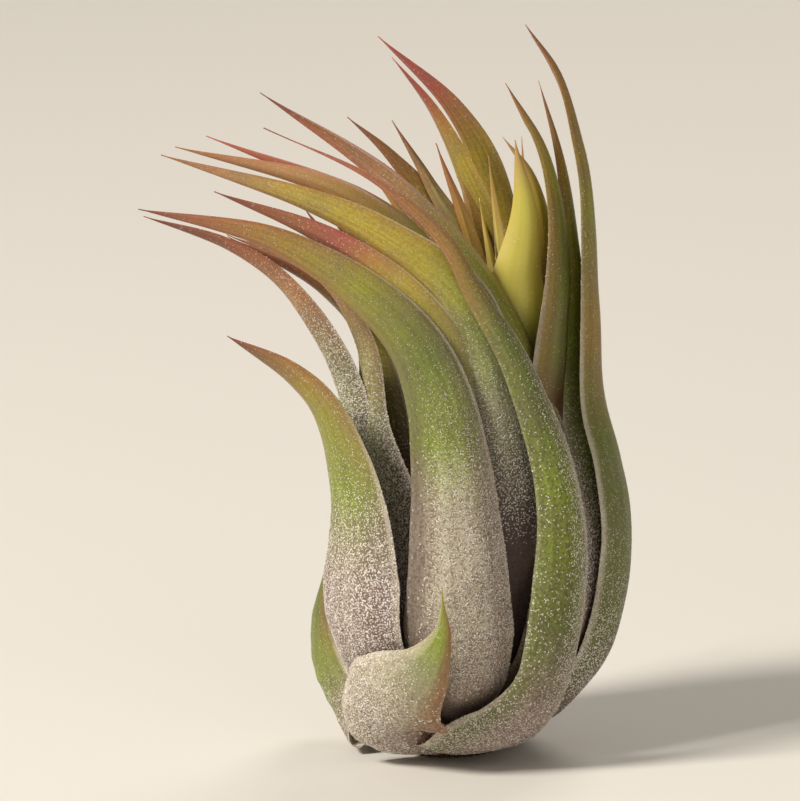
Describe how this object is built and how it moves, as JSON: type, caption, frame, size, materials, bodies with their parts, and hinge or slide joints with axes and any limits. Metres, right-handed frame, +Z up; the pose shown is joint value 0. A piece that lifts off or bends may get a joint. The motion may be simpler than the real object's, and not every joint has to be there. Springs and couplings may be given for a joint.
{
  "type": "air plant",
  "caption": "Potless rosette plant: channelled, tapering leaves swell into a bulb round a short woody stem and sweep over to one side.",
  "frame": {"origin": "middle of the stem's flat underside, on the surface it rests on", "axes": "+Z up along the bulb, +X to the right in the front view (the leaves sweep over to -X), -Y towards the front"},
  "size_m": [0.0531, 0.0348, 0.08],
  "materials": {
    "stem": "dry, fibrous, cut off flat",
    "leaf_outer": "matt green under silvery scales, pinkish near the root, browner to the tip",
    "leaf_inner": "matt olive yellow with fine silvery scales, red-brown to the tip",
    "leaf_heart": "smooth pale yellow green, orange-brown to the tip"
  },
  "bodies": {
    "root": {"stem": "stem", "leaf_01_bract_front": "leaf_outer", "leaf_02_bract_right": "leaf_outer", "leaf_03_bract_left": "leaf_outer", "leaf_04_outer_front_right": "leaf_outer", "leaf_05_outer_back": "leaf_outer", "leaf_06_outer_front_left": "leaf_outer", "leaf_07_outer_right": "leaf_outer", "leaf_08_outer_back_left": "leaf_outer", "leaf_09_outer_front": "leaf_outer", "leaf_10_outer_back_right": "leaf_outer", "leaf_11_middle_left": "leaf_outer", "leaf_12_middle_right": "leaf_outer", "leaf_13_middle_back": "leaf_outer", "leaf_14_middle_front_left": "leaf_outer", "leaf_15_middle_right_back": "leaf_outer", "leaf_16_middle_back_left": "leaf_outer", "leaf_17_middle_front": "leaf_outer", "leaf_18_middle_back_deep": "leaf_inner", "leaf_19_middle_left_deep": "leaf_inner", "leaf_20_inner_right": "leaf_inner", "leaf_21_inner_back_left": "leaf_inner", "leaf_22_inner_front": "leaf_inner", "leaf_23_inner_right_back": "leaf_inner", "leaf_24_inner_left": "leaf_inner", "leaf_25_inner_front_right": "leaf_inner", "leaf_26_inner_back": "leaf_inner", "leaf_27_heart_front_left": "leaf_heart", "leaf_28_heart_right": "leaf_heart", "leaf_29_heart_back_left": "leaf_heart", "leaf_30_heart_front": "leaf_heart", "leaf_31_heart_right_back": "leaf_heart", "leaf_32_heart_left": "leaf_heart", "leaf_33_heart_front_right": "leaf_heart", "leaf_34_heart_back": "leaf_heart"}
  },
  "joints": []
}
